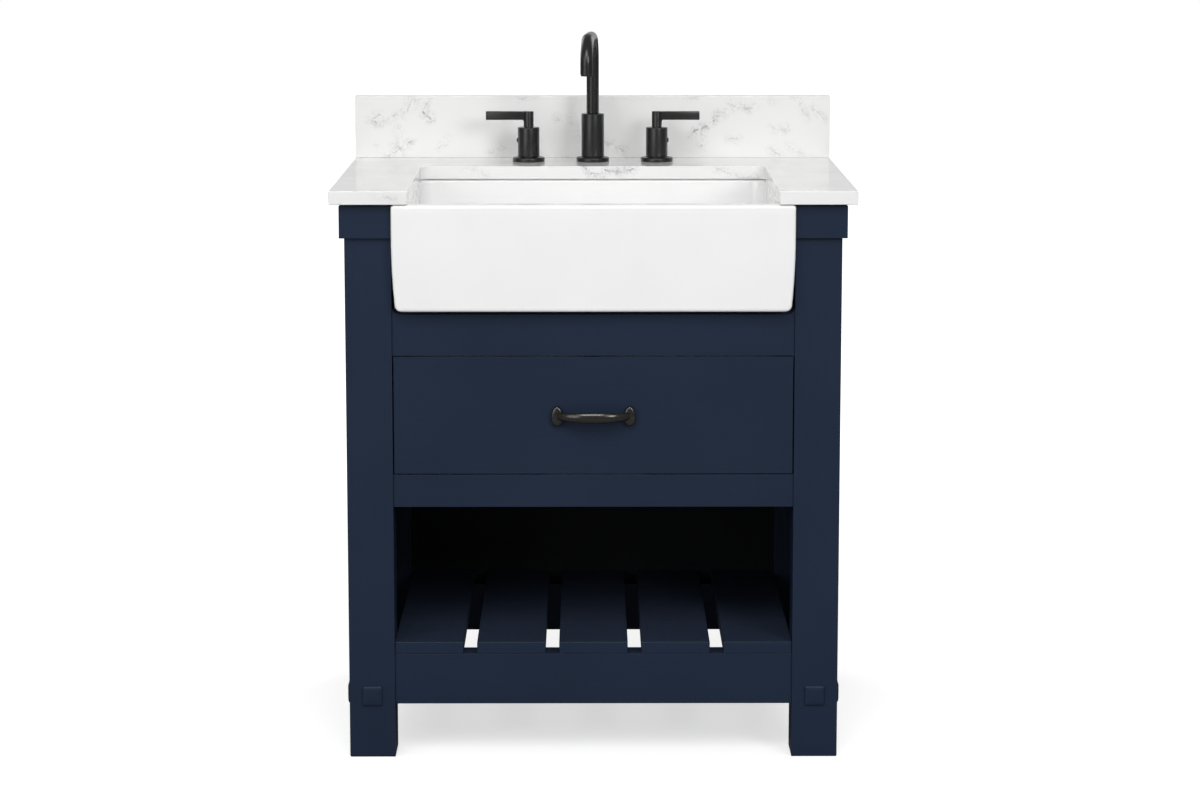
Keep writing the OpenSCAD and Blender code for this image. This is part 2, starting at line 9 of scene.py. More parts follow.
import bmesh
import bpy
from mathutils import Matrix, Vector

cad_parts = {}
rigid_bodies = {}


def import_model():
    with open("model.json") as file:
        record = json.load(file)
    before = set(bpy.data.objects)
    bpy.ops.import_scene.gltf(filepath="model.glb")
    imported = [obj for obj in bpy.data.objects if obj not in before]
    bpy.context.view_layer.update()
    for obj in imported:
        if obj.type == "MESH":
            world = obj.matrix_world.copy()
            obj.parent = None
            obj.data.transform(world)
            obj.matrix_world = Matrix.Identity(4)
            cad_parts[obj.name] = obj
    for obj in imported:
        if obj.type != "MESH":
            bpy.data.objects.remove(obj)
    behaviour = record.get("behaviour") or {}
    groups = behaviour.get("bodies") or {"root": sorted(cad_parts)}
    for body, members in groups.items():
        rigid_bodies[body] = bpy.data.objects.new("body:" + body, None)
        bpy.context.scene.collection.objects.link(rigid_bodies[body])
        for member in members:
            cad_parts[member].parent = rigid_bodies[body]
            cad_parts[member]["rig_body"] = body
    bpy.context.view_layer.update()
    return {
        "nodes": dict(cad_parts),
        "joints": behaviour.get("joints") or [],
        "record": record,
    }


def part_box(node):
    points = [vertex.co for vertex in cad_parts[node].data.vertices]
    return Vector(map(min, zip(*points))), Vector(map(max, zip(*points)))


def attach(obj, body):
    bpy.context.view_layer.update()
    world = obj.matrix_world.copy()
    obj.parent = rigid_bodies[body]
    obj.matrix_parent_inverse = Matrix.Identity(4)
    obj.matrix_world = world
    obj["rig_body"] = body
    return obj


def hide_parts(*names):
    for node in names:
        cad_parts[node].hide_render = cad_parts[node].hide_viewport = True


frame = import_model()
nodes = frame["nodes"]

mm = 0.001
UP = Vector((0, 0, 1))
SLOT_OF = {part["node"]: part["material_slot"] for part in frame["record"]["subparts"]}
JOINTS = {joint["name"]: joint for joint in frame["joints"]}

deck_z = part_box("countertop")[1].z
under_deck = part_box("countertop")[0].z


# ---- Outlines ----


def rounded(corners, radius, closed=False, steps=4):
    """The outline through the corners with each turn rounded.

    radius is one number, or a list with one for each corner.
    """
    corners = [Vector(c) for c in corners]
    count = len(corners)
    radii = radius if isinstance(radius, list) else [radius] * count
    outline = []
    for i, (corner, r) in enumerate(zip(corners, radii)):
        if r == 0 or (not closed and i in (0, count - 1)):
            outline.append(corner)
            continue
        back = corners[i - 1] - corner
        ahead = corners[(i + 1) % count] - corner
        half = back.angle(ahead) / 2
        reach = min(r / math.tan(half), 0.49 * back.length, 0.49 * ahead.length)
        centre = corner + (back.normalized() + ahead.normalized()).normalized() * reach / math.cos(half)
        first = corner + back.normalized() * reach - centre
        last = corner + ahead.normalized() * reach - centre
        bend = [first.lerp(last, k / steps).normalized() for k in range(steps + 1)]
        outline += [centre + way * first.length for way in bend]
    return outline


def thread(radius, low, high, pitch=1.6 * mm, depth=0.8 * mm):
    """Profile of a screw thread between two heights, as a row of ridges."""
    turns = round(abs(high - low) / pitch)
    step = (high - low) / turns
    points = []
    for i in range(turns):
        points += [(radius - depth, low + i * step), (radius, low + (i + 0.5) * step)]
    return points + [(radius - depth, high)]


def round_rectangle(half_x, low_y, high_y, radius, corner_steps=6, long_side=18, short_side=12):
    """Points of a rectangle with rounded corners, in the plane, centred on x = 0."""
    turns = [(half_x, high_y, 0), (-half_x, high_y, 90), (-half_x, low_y, 180), (half_x, low_y, 270)]
    outline = []
    for i, (x, y, start) in enumerate(turns):
        centre = Vector((x - math.copysign(radius, x), y - radius if start < 180 else y + radius))
        for k in range(corner_steps + 1):
            angle = math.radians(start + 90 * k / corner_steps)
            outline.append(centre + radius * Vector((math.cos(angle), math.sin(angle))))
        after = turns[(i + 1) % 4]
        end_centre = Vector((after[0] - math.copysign(radius, after[0]),
                             after[1] - radius if after[2] < 180 else after[1] + radius))
        angle = math.radians(start + 90)
        end = end_centre + radius * Vector((math.cos(angle), math.sin(angle)))
        side = long_side if i % 2 == 0 else short_side
        outline += [outline[-1].lerp(end, k / side) for k in range(1, side)]
    return outline


# ---- Meshes ----


def finished(bm, name, crease=40):
    """The bmesh as an object that faces outwards, smooth except at turns sharper than crease degrees."""
    bmesh.ops.remove_doubles(bm, verts=bm.verts, dist=1e-6)
    bmesh.ops.recalc_face_normals(bm, faces=bm.faces)
    for face in bm.faces:
        face.smooth = True
    for edge in bm.edges:
        edge.smooth = edge.calc_face_angle(0) < math.radians(crease)
    mesh = bpy.data.meshes.new(name)
    bm.to_mesh(mesh)
    bm.free()
    obj = bpy.data.objects.new(name, mesh)
    bpy.context.scene.collection.objects.link(obj)
    return obj


def loft(name, rings, loop=False, crease=40):
    """A closed mesh through rings of equally many points. A loop joins the last ring to the first."""
    bm = bmesh.new()
    rows = [[bm.verts.new(point) for point in ring] for ring in rings]
    for low, high in zip(rows, rows[1:] + rows[:1] if loop else rows[1:]):
        for i in range(len(low)):
            j = (i + 1) % len(low)
            bm.faces.new((low[i], low[j], high[j], high[i]))
    if not loop:
        bm.faces.new(rows[0])
        bm.faces.new(rows[-1])
    return finished(bm, name, crease)


def lathe(name, profile, centre, aim=UP, loop=False, steps=72, crease=40):
    """A turned piece: (radius, height) points spun round the line through centre along aim."""
    turn = UP.rotation_difference(aim)
    rings = []
    for radius, height in profile:
        ring = []
        for k in range(steps):
            angle = 2 * math.pi * k / steps
            spoke = Vector((radius * math.cos(angle), radius * math.sin(angle), height))
            ring.append(centre + turn @ spoke)
        rings.append(ring)
    return loft(name, rings, loop, crease)


def sweep_ring(point, side, across, half_side, half_across, steps=32):
    """One oval ring of a sweep, in the plane of the side and across directions."""
    ring = []
    for k in range(steps):
        angle = 2 * math.pi * k / steps
        ring.append(point + side * half_side * math.cos(angle) + across * half_across * math.sin(angle))
    return ring


def united(name, pieces, crease=40):
    """One closed mesh from closed pieces that overlap."""
    first = pieces[0]
    for other in pieces[1:]:
        union = first.modifiers.new("union", "BOOLEAN")
        union.operation = "UNION"
        union.solver = "EXACT"
        union.object = other
    whole = first.evaluated_get(bpy.context.evaluated_depsgraph_get())
    bm = bmesh.new()
    bm.from_mesh(bpy.data.meshes.new_from_object(whole))
    for piece in pieces:
        bpy.data.objects.remove(piece)
    return finished(bm, name, crease)


# ---- Materials ----


class Finish:
    """A Principled material under construction. Its patterns read each point's place in the CAD frame."""

    def __init__(self, name, **constants):
        self.material = bpy.data.materials.new(name)
        self.material.use_nodes = True
        self.tree = self.material.node_tree
        self.shader = self.tree.nodes["Principled BSDF"]
        self.place = self.tree.nodes.new("ShaderNodeTexCoord").outputs["Object"]
        for socket, value in constants.items():
            self.shader.inputs[socket.replace("_", " ")].default_value = value

    def feed(self, socket, value):
        """Links a node's output to the socket, or sets the socket's own value."""
        if isinstance(value, bpy.types.NodeSocket):
            self.tree.links.new(value, socket)
        else:
            socket.default_value = value

    def node(self, kind, values, **settings):
        """A new node with those inputs and settings."""
        made = self.tree.nodes.new(kind)
        for key, value in settings.items():
            setattr(made, key, value)
        for key, value in values.items():
            self.feed(made.inputs[key], value)
        return made

    def scaled(self, factors, place=None):
        """Places multiplied by one factor along each axis."""
        place = place or self.place
        return self.node("ShaderNodeVectorMath", {0: place, 1: factors}, operation="MULTIPLY").outputs[0]

    def moved(self, place, shift):
        """Places with a shift added."""
        return self.node("ShaderNodeVectorMath", {0: place, 1: shift}, operation="ADD").outputs[0]

    def noise(self, scale, detail=2.0, roughness=0.5, distortion=0.0, place=None):
        values = {"Vector": place or self.place, "Scale": scale, "Detail": detail,
                  "Roughness": roughness, "Distortion": distortion}
        return self.node("ShaderNodeTexNoise", values).outputs["Fac"]

    def maths(self, operation, first, second=0.0):
        return self.node("ShaderNodeMath", {0: first, 1: second}, operation=operation).outputs[0]

    def span(self, value, low, high, to_low=0.0, to_high=1.0):
        """value taken smoothly from the range low..high to to_low..to_high."""
        values = {"Value": value, "From Min": low, "From Max": high, "To Min": to_low, "To Max": to_high}
        return self.node("ShaderNodeMapRange", values, interpolation_type="SMOOTHSTEP").outputs["Result"]

    def mix(self, factor, first, second):
        values = {"Fac": factor, "Color1": first, "Color2": second}
        return self.node("ShaderNodeMixRGB", values).outputs["Color"]

    def normal(self):
        """The three parts of the surface's direction, as outputs."""
        direction = self.node("ShaderNodeNewGeometry", {}).outputs["Normal"]
        return self.node("ShaderNodeSeparateXYZ", {0: direction}).outputs

    def bump(self, height, distance, strength=1.0):
        """Adds relief of that depth on top of what is already there."""
        values = {"Height": height, "Distance": distance, "Strength": strength}
        if self.shader.inputs["Normal"].links:
            values["Normal"] = self.shader.inputs["Normal"].links[0].from_socket
        self.set("Normal", self.node("ShaderNodeBump", values).outputs["Normal"])

    def set(self, socket, value):
        self.feed(self.shader.inputs[socket], value)


def shade(colour, factor):
    """The colour made lighter or darker, with an alpha of 1."""
    return tuple(factor * c for c in colour) + (1.0,)


GRAIN_ACROSS = 420
GRAIN_ALONG = 9
PLY_PAIR = 2.6 * mm


def grain_place(finish, axis, across=GRAIN_ACROSS, along=GRAIN_ALONG):
    """Places stretched along one axis, so that a noise read there looks like wood grain."""
    return finish.scaled(tuple(along if i == axis else across for i in range(3)))


def painted_wood(name, colour, roughness, axis):
    """Sprayed satin paint: orange peel, a trace of grain, drift in its colour, and paler top faces, partly
    dust and partly painted sheen.
    """
    f = Finish(name, Specular_IOR_Level=0.2)
    grain = f.noise(1.0, detail=5.0, roughness=0.62, place=grain_place(f, axis))
    drift = f.noise(5.0, detail=3.0)
    peel = f.noise(760.0, detail=2.0)
    tone = f.maths("ADD", f.maths("MULTIPLY", drift, 0.65), f.maths("MULTIPLY", grain, 0.35))
    paint = f.mix(f.span(tone, 0.3, 0.7), shade(colour, 0.92), shade(colour, 1.09))
    # Top faces and the tops of rounded edges go towards a pale grey: partly dust, partly a painted sheen
    # that stands in for light falling on them.
    faces_up = f.span(f.normal()[2], 0.75, 0.95)
    dust_and_sheen = f.maths("MULTIPLY", faces_up, f.span(f.noise(120.0, detail=5.0), 0.3, 0.7, 0.03, 0.05))
    f.set("Base Color", f.mix(dust_and_sheen, paint, (0.30, 0.31, 0.36, 1)))
    patches = f.noise(38.0, detail=4.0)
    f.set("Roughness", f.span(patches, 0.25, 0.75, roughness - 0.012, roughness + 0.015))
    f.bump(grain, 0.035 * mm)
    f.bump(peel, 0.018 * mm)
    return f.material


def plywood(name, axis, ply_axis):
    """Clear-coated birch plywood: straight pale grain, and plies that show on the edges of the board."""
    f = Finish(name, Specular_IOR_Level=0.4, Coat_Weight=0.15, Coat_Roughness=0.35)
    figure_place = grain_place(f, axis, 120, 3.5)
    figure = f.noise(1.0, detail=6.0, roughness=0.6, distortion=1.4, place=figure_place)
    pores = f.noise(1.0, detail=3.0, place=grain_place(f, axis, 1500, 40))
    face = f.mix(f.span(figure, 0.3, 0.7), (0.60, 0.43, 0.25, 1), (0.76, 0.60, 0.41, 1))
    face = f.mix(f.span(pores, 0.56, 0.72, 0.0, 0.35), face, (0.42, 0.27, 0.14, 1))
    through = f.node("ShaderNodeSeparateXYZ", {0: f.place}).outputs[ply_axis]
    plies = f.maths("SINE", f.maths("MULTIPLY", through, 2 * math.pi / PLY_PAIR))
    edge = f.mix(f.span(plies, -0.3, 0.3), (0.45, 0.29, 0.16, 1), (0.70, 0.53, 0.34, 1))
    facing = f.maths("ABSOLUTE", f.normal()[ply_axis])
    f.set("Base Color", f.mix(f.span(facing, 0.35, 0.6), edge, face))
    f.set("Roughness", f.span(pores, 0.3, 0.7, 0.42, 0.55))
    f.bump(figure, 0.03 * mm)
    return f.material


def quartz(name):
    """Polished white stone: a few grey cracks, each with a soft halo of smudges and hair cracks."""
    f = Finish(name, Specular_IOR_Level=0.5, Coat_Weight=0.25, Coat_Roughness=0.04)
    place = f.place
    for scale, reach in ((30.0, 9 * mm), (140.0, 3.5 * mm)):
        warp = f.node("ShaderNodeTexNoise", {"Vector": f.place, "Scale": scale, "Detail": 3.0})
        shift = f.moved(warp.outputs["Color"], (-0.5, -0.5, -0.5))
        place = f.moved(f.scaled((2 * reach,) * 3, shift), place)
    crack = 0.0
    halo = 0.0
    for corners, strength in veins():
        distance = 1.0
        for first, last in zip(corners, corners[1:]):
            distance = f.maths("MINIMUM", distance_to_line(f, place, first, last), distance)
        crack = f.maths("MAXIMUM", f.span(distance, 0.3 * mm, 1.9 * mm, strength, 0.0), crack)
        halo = f.maths("MAXIMUM", f.span(distance, 0.0, 13 * mm, strength, 0.0), halo)
    crack = f.maths("MULTIPLY", crack, f.span(f.noise(170.0, detail=3.0), 0.32, 0.56, 0.3, 1.0))
    folds = f.noise(75.0, detail=5.0, roughness=0.66, place=place)
    ridge = f.maths("ABSOLUTE", f.maths("SUBTRACT", folds, 0.5))
    hair = f.maths("MULTIPLY", f.span(ridge, 0.0, 0.03, 0.75, 0.0), halo)
    smoke = f.noise(60.0, detail=5.0, roughness=0.7)
    smudge = f.maths("MULTIPLY", f.span(smoke, 0.42, 0.7, 0.0, 0.45), halo)
    grey = f.maths("ADD", f.maths("MAXIMUM", crack, hair), smudge)
    mottle = f.span(f.noise(8.0, detail=2.0), 0.3, 0.7)
    speck = f.span(f.noise(900.0, detail=2.0), 0.35, 0.65)
    body = f.mix(mottle, (0.81, 0.81, 0.805, 1), (0.83, 0.83, 0.825, 1))
    body = f.mix(f.maths("MULTIPLY", speck, 0.12), body, (0.74, 0.74, 0.74, 1))
    cloud = f.span(f.noise(12.0, detail=3.0), 0.55, 0.8, 0.0, 0.25)
    body = f.mix(cloud, body, (0.73, 0.735, 0.74, 1))
    grey = f.node("ShaderNodeClamp", {"Value": grey}).outputs[0]
    f.set("Base Color", f.mix(grey, body, (0.36, 0.365, 0.38, 1)))
    f.set("Roughness", f.span(mottle, 0.0, 1.0, 0.10, 0.15))
    f.bump(f.noise(35.0, detail=2.0), 0.002 * mm)
    return f.material


def distance_to_line(f, place, first, last):
    """How far each place is from the straight line between two points."""
    along = Vector(last) - Vector(first)
    offset = f.moved(place, tuple(-Vector(first)))
    values = {0: offset, 1: tuple(along / along.length_squared)}
    share = f.node("ShaderNodeVectorMath", values, operation="DOT_PRODUCT").outputs["Value"]
    share = f.node("ShaderNodeClamp", {"Value": share}).outputs[0]
    values = {0: tuple(along), "Scale": share}
    nearest = f.node("ShaderNodeVectorMath", values, operation="SCALE").outputs[0]
    values = {0: offset, 1: nearest}
    return f.node("ShaderNodeVectorMath", values, operation="DISTANCE").outputs["Value"]


def veins():
    """The veins of the stone: (corners, strength).

    The lists hold places in mm: to the right of the middle, and above the deck. They lie on the face
    of the backsplash, on the back of the cutout and on the countertop's front edge.
    """
    splash_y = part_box("backsplash")[0].y
    edge_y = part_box("countertop")[0].y
    cut_inset = 27 * mm
    cut_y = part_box("sink")[1].y - cut_inset
    on_splash = [
        ([(-343, 70), (-357, 61), (-343, 52)], 0.6),
        ([(-337, 60), (-314, 68), (-298, 70), (-292, 96)], 0.55),
        ([(-281, 91), (-275, 79), (-268, 73), (-259, 62)], 1.0),
        ([(-265, 96), (-265, 86)], 0.6),
        ([(-314, 45), (-314, 34)], 0.5),
        ([(-327, 3), (-311, 17), (-291, 24)], 0.7),
        ([(-318, 22), (-308, 7)], 0.5),
        ([(-347, 17), (-345, 14)], 0.4),
        ([(-247, 16), (-234, 27)], 0.45),
        ([(-161, 7), (-146, 14), (-133, 17)], 0.45),
        ([(-123, 94), (-97, 97)], 0.4),
        ([(-59, 65), (-57, 61)], 0.5),
        ([(-38, 68), (-30, 50), (-20, 32)], 0.4),
        ([(22, 24), (37, 19), (51, 11)], 0.75),
        ([(159, 38), (175, 45), (195, 60)], 1.0),
        ([(175, 42), (175, 19)], 0.6),
        ([(198, 66), (224, 79)], 0.7),
        ([(223, 86), (257, 78)], 0.6),
        ([(218, 30), (234, 31)], 0.4),
        ([(288, 47), (311, 46)], 0.5),
        ([(151, 95), (164, 96)], 0.4),
        ([(287, 91), (290, 87)], 0.4),
        ([(327, 96), (345, 63)], 0.5),
        ([(353, 79), (374, 63)], 0.5),
        ([(288, 12), (299, 1)], 0.55),
        ([(314, 19), (335, 7)], 0.55),
    ]
    on_cut = [
        ([(-18, 3), (-6, -10), (15, -13)], 0.9),
        ([(20, -5), (47, -8), (64, -2)], 0.9),
        ([(195, -5), (225, -14), (255, -16)], 0.5),
        ([(-197, -5), (-165, -14)], 0.35),
    ]
    on_edge = [([(-310, -7), (-282, -13)], 0.35)]
    found = []
    for y, lines in ((splash_y, on_splash), (cut_y, on_cut), (edge_y, on_edge)):
        for path, strength in lines:
            found.append(([(x * mm, y, deck_z + up * mm) for x, up in path], strength))
    return found


def glaze(name):
    """Fired white glaze over clay: glossy, a little wavy and slightly uneven in tone."""
    f = Finish(name, Specular_IOR_Level=0.5, Coat_Weight=0.5, Coat_Roughness=0.05)
    tone = f.noise(7.0, detail=2.0)
    f.set("Base Color", f.mix(f.span(tone, 0.3, 0.7), (0.845, 0.845, 0.845, 1), (0.87, 0.87, 0.868, 1)))
    f.set("Roughness", f.span(f.noise(30.0, detail=1.0), 0.3, 0.7, 0.15, 0.165))
    f.bump(f.noise(14.0, detail=1.0), 0.1 * mm)
    f.bump(f.noise(420.0, detail=2.0), 0.002 * mm)
    return f.material


def coated_metal(name, colour, roughness, grain, metallic=0.0):
    """A fine, slightly textured coating over metal."""
    f = Finish(name, Metallic=metallic, Specular_IOR_Level=0.45)
    drift = f.noise(60.0, detail=4.0)
    speck = f.noise(grain, detail=3.0, roughness=0.65)
    tone = f.maths("ADD", f.maths("MULTIPLY", drift, 0.5), f.maths("MULTIPLY", speck, 0.5))
    f.set("Base Color", f.mix(f.span(tone, 0.35, 0.65), shade(colour, 0.82), shade(colour, 1.2)))
    f.set("Roughness", f.span(speck, 0.3, 0.7, roughness - 0.05, roughness + 0.06))
    f.bump(speck, 0.012 * mm)
    return f.material


def rubbed_bronze(name):
    """Dark bronze with brush marks and small rubbed places where the metal shows through."""
    f = Finish(name, Metallic=0.85, Specular_IOR_Level=0.5)
    brushed = f.noise(1.0, detail=5.0, roughness=0.6, place=f.scaled((160, 900, 900)))
    rub = f.span(f.noise(150.0, detail=5.0, roughness=0.7), 0.56, 0.74)
    dark = f.mix(brushed, (0.034, 0.033, 0.031, 1), (0.076, 0.074, 0.070, 1))
    f.set("Base Color", f.mix(f.maths("MULTIPLY", rub, 0.2), dark, (0.22, 0.21, 0.19, 1)))
    f.set("Roughness", f.span(brushed, 0.3, 0.7, 0.2, 0.24))
    f.bump(brushed, 0.001 * mm)
    return f.material


def bare_metal(name, colour, roughness, brush=(500, 500, 60)):
    """Bare or plated metal with fine drawing marks."""
    f = Finish(name, Metallic=1.0)
    marks = f.noise(1.0, detail=5.0, roughness=0.6, place=f.scaled(brush))
    cloud = f.noise(45.0, detail=3.0)
    f.set("Base Color", f.mix(f.span(cloud, 0.3, 0.7), shade(colour, 0.9), shade(colour, 1.05)))
    f.set("Roughness", f.span(marks, 0.3, 0.7, 0.75 * roughness, 1.25 * roughness))
    f.bump(marks, 0.006 * mm)
    return f.material


def index_button(name, colour, node):
    """A small moulded button: a coloured dot in a black rim."""
    f = Finish(name, Specular_IOR_Level=0.5, Coat_Weight=0.3, Coat_Roughness=0.1)
    low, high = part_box(node)
    middle = (low + high) / 2
    tone = f.noise(400.0, detail=2.0)
    flat = f.scaled((0, 1, 1))
    from_axis = f.node("ShaderNodeVectorMath", {0: flat, 1: (0, middle.y, middle.z)}, operation="DISTANCE")
    rim = f.span(from_axis.outputs["Value"], 2.5 * mm, 2.7 * mm)
    dot = f.mix(tone, shade(colour, 0.85), shade(colour, 1.15))
    f.set("Base Color", f.mix(rim, dot, (0.012, 0.012, 0.012, 1)))
    f.set("Roughness", f.span(tone, 0.3, 0.7, 0.22, 0.3))
    f.bump(tone, 0.01 * mm)
    return f.material


NAVY = (0.0101, 0.0191, 0.0413)
# Near-black navy for the panels inside the bay: a dark interior finish, made this dark as painted shade for
# the unlit bay.
NAVY_PAINTED_SHADE = (0.0025, 0.0035, 0.0060)

MATERIALS = {
    "quartz": quartz("quartz"),
    "sink_glaze": glaze("sink_glaze"),
    "faucet_black": coated_metal("faucet_black", (0.0105, 0.0105, 0.0107), 0.28, 1600.0),
    "pull_bronze": rubbed_bronze("pull_bronze"),
    "chrome": bare_metal("chrome", (0.72, 0.73, 0.75), 0.1),
    "zinc_plate": bare_metal("zinc_plate", (0.52, 0.53, 0.55), 0.32),
    "valve_brass": bare_metal("valve_brass", (0.66, 0.50, 0.24), 0.28),
    "index_red": index_button("index_red", (0.35, 0.02, 0.015), "hot_index"),
    "index_blue": index_button("index_blue", (0.02, 0.05, 0.22), "cold_index"),
}
for i, letter in enumerate("xyz"):
    MATERIALS["navy_paint", i] = painted_wood("navy_paint_" + letter, NAVY, 0.42, i)
    # The dark panels take the near-black navy, which is painted shade inside the bay.
    MATERIALS["dark_panel", i] = painted_wood("dark_panel_" + letter, NAVY_PAINTED_SHADE, 0.6, i)


def material_for(node):
    """The slot's material, and for wood the one whose grain runs along the piece."""
    slot = SLOT_OF[node]
    if slot in MATERIALS:
        return MATERIALS[slot]
    low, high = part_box(node)
    size = list(high - low)
    along = size.index(max(size))
    if slot == "plywood":
        through = size.index(min(size))
        key = (slot, along, through)
        if key not in MATERIALS:
            MATERIALS[key] = plywood(f"plywood_{'xyz'[along]}{'xyz'[through]}", along, through)
        return MATERIALS[key]
    return MATERIALS[slot, along]


def stand_in(obj, node):
    """obj is shown for a CAD node: it rides with the node's body and takes its finish."""
    obj.data.materials.append(material_for(node))
    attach(obj, nodes[node]["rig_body"])
    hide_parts(node)


# ---- CAD nodes that stay, with softened edges ----

# Edge roundings in mm. A node takes the one with the longest name that its own name starts with.
EDGES = {"leg": 1.8, "cap": 0.6, "rail": 0.6, "shelf": 1.4, "drawer_front": 0.8, "countertop": 1.3,
         "backsplash": 0.8, "sink_cleats": 1.0, "runner_blocks": 1.0, "runner": 0.25, "drawer": 0.8,
         "side": 0.8, "back": 0.8, "bay": 0.8, "faucet_nuts": 0.6, "drain_nut": 0.6, "pull_screws": 0.4}


def edge_width(node):
    """How wide the node's rounded edges are, or 0 for sharp ones."""
    fits = [key for key in EDGES if node.startswith(key)]
    return EDGES[max(fits, key=len)] * mm if fits else 0


def soften(node):
    """Rounds the sharp edges of a CAD node with modifiers and gives it its material."""
    obj = nodes[node]
    obj.material_slots[0].material = material_for(node)
    weld = obj.modifiers.new("weld", "WELD")
    weld.merge_threshold = 0.01 * mm
    flat = obj.modifiers.new("flat", "DECIMATE")
    flat.decimate_type = "DISSOLVE"
    flat.angle_limit = math.radians(0.5)
    width = edge_width(node)
    if width:
        bevel = obj.modifiers.new("bevel", "BEVEL")
        bevel.width = width
        bevel.segments = 3
        bevel.limit_method = "ANGLE"
        bevel.angle_limit = math.radians(50)
        bevel.use_clamp_overlap = False
    normals = obj.modifiers.new("normals", "WEIGHTED_NORMAL")
    normals.keep_sharp = False
    normals.weight = 60


# ---- Sink ----


def make_sink():
    """One closed glazed shell: leaning sides, rounded rim, coved basin and a floor falling to the drain."""
    low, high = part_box("sink")
    drain = (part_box("drain_flange")[0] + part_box("drain_flange")[1]) / 2
    flange_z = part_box("drain_flange")[1].z
    hole_r = 22.5 * mm
    recess_r = 31.6 * mm
    wall = 22 * mm
    draft = 4 * mm
    foot_r = 9 * mm
    rim_r = 6 * mm
    front_r = 4 * mm
    basin_r = 25 * mm
    cove_r = 30 * mm
    lean = 5.5 * mm
    lean_top = high.z - 49 * mm
    floor_edge_z = flange_z + 3 * mm
    floor_z = flange_z - 3 * mm

    def half_width(z):
        """Half the sink's width at a height. The sides lean in towards the bottom."""
        down = max(0, lean_top - z) / (lean_top - low.z)
        return high.x - lean * down**2

    def ring(z, inset, radius, front_inset=None):
        """The sink's outline at a height, moved inwards. The front may have an inset of its own."""
        front_inset = inset if front_inset is None else front_inset
        flat = round_rectangle(half_width(z) - inset, low.y + front_inset, high.y - front_inset, radius)
        return [Vector((p.x, p.y, z)) for p in flat]

    def rounding(rise, radius):
        """How far a bottom edge of that radius stands back at a height above the bottom."""
        left = max(0, radius - rise)
        return radius - math.sqrt(radius**2 - left**2)

    def disc(radius, z, around):
        """A circle at the drain whose points line up with those of another ring."""
        points = []
        for p in around:
            out = Vector((p.x - drain.x, p.y - drain.y, 0)).normalized()
            points.append(Vector((drain.x, drain.y, z)) + out * radius)
        return points

    def between(first, last, steps, ease=lambda t: t):
        """Rings from first to last, both left out. ease bends how the height changes on the way."""
        made = []
        for k in range(1, steps):
            t = k / steps
            row = []
            for a, b in zip(first, last):
                point = a.lerp(b, t)
                point.z = a.z + (b.z - a.z) * ease(t)
                row.append(point)
            made.append(row)
        return made

    turns = [math.radians(90 * k / 6) for k in range(7)]
    outside = []
    for turn in turns:
        rise = foot_r * (1 - math.cos(turn))
        outside.append(ring(low.z + rise, rounding(rise, foot_r), front_r, rounding(rise, front_r)))
    foot_z = low.z + foot_r
    rim_z = high.z - rim_r
    walls = 14
    outside += [ring(foot_z + (rim_z - foot_z) * k / walls, 0, front_r) for k in range(1, walls + 1)]
    rim = []
    for turn in turns[1:]:
        rim.append(ring(rim_z + rim_r * math.sin(turn), rim_r * (1 - math.cos(turn)), front_r))
    for turn in turns:
        rim.append(ring(rim_z + rim_r * math.cos(turn), wall - rim_r * (1 - math.sin(turn)), basin_r))
    cove_z = floor_edge_z + cove_r
    inside = []
    for k in range(1, 6):
        z = rim_z + (cove_z - rim_z) * k / 5
        inside.append(ring(z, wall + draft * k / 5, basin_r))
    for turn in turns[1:]:
        inset = wall + draft + cove_r * (1 - math.cos(turn))
        inside.append(ring(cove_z - cove_r * math.sin(turn), inset, basin_r + 8 * mm))
    lip = disc(recess_r + 1.2 * mm, flange_z - 0.8 * mm, inside[-1])
    floor = between(inside[-1], lip, 9, lambda t: 1 - (1 - t) ** 1.5) + [lip]
    floor.append(disc(recess_r, flange_z - 1.6 * mm, lip))
    floor.append(disc(recess_r, floor_z, lip))
    hole_top = disc(hole_r, floor_z, lip)
    hole_bottom = disc(hole_r, low.z, lip)
    under = [hole_bottom] + between(hole_bottom, outside[0], 6)
    rings = under + outside + rim + inside + floor + [hole_top]
    stand_in(loft("sink_shell", rings, loop=True, crease=50), "sink")


# ---- Drain ----


